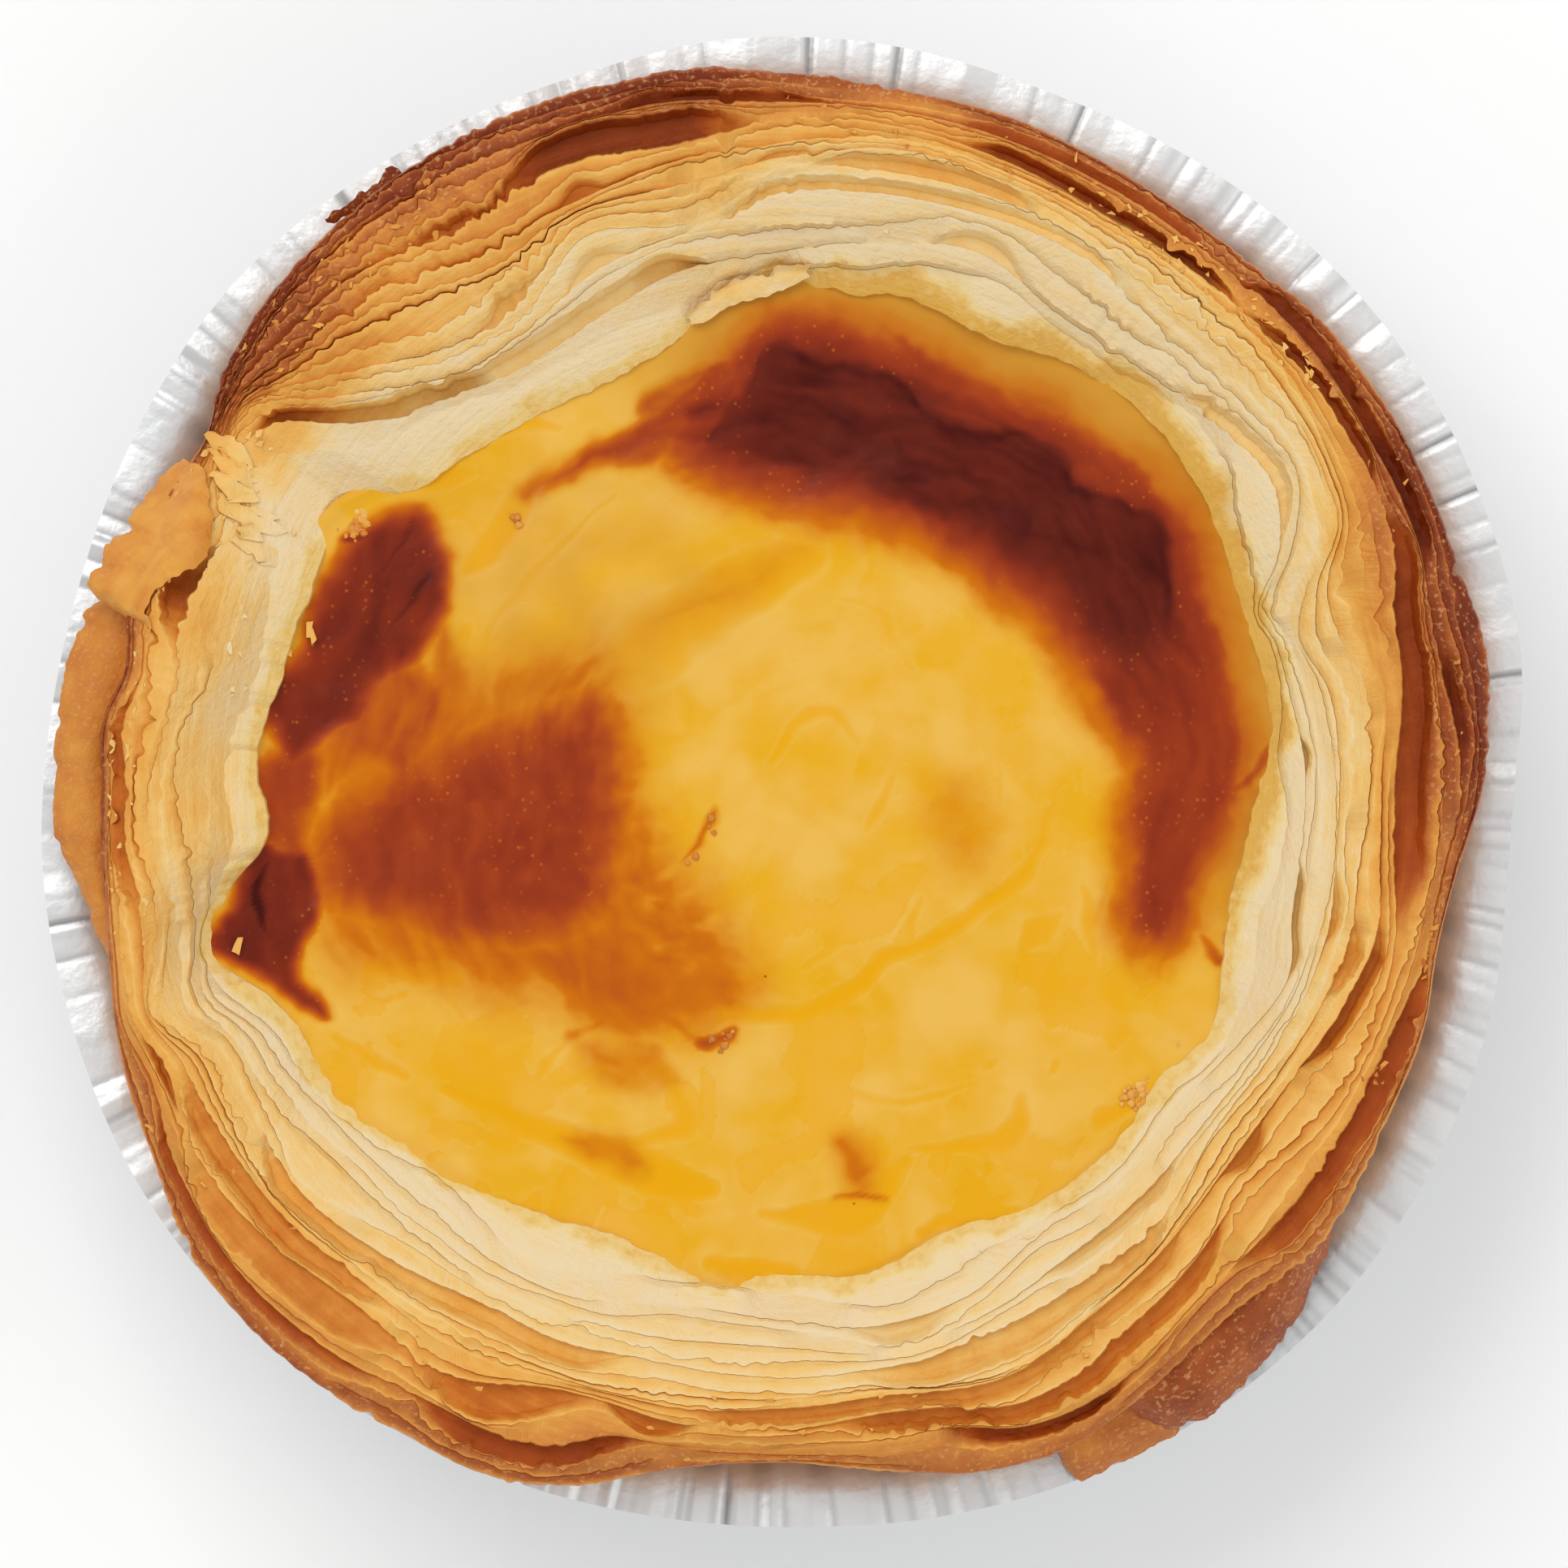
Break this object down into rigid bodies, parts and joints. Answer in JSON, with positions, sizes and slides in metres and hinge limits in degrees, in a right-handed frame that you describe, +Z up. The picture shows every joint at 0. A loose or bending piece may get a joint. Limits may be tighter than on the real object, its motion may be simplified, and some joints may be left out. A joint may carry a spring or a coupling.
{
  "type": "portuguese custard tart in a foil case",
  "caption": "Round custard tart: a layered puff-pastry shell filled with browned custard, standing in a crimped foil case.",
  "frame": {"origin": "centre of the foil case's rim, dropped to the plane that its base stands on", "axes": "+Z up out of the custard; +X to the right and +Y away in a view from above with the pinched part of the rim at upper left"},
  "size_m": [0.0796, 0.0805, 0.0283],
  "materials": {
    "foil": "thin crinkled aluminium foil, satin",
    "pastry": "baked puff pastry, cream inside to brown at the outer layers",
    "custard": "set egg custard with caramelised patches, moist sheen"
  },
  "bodies": {
    "root": {"foil_case": "foil", "pastry_shell": "pastry", "custard": "custard"}
  },
  "joints": []
}
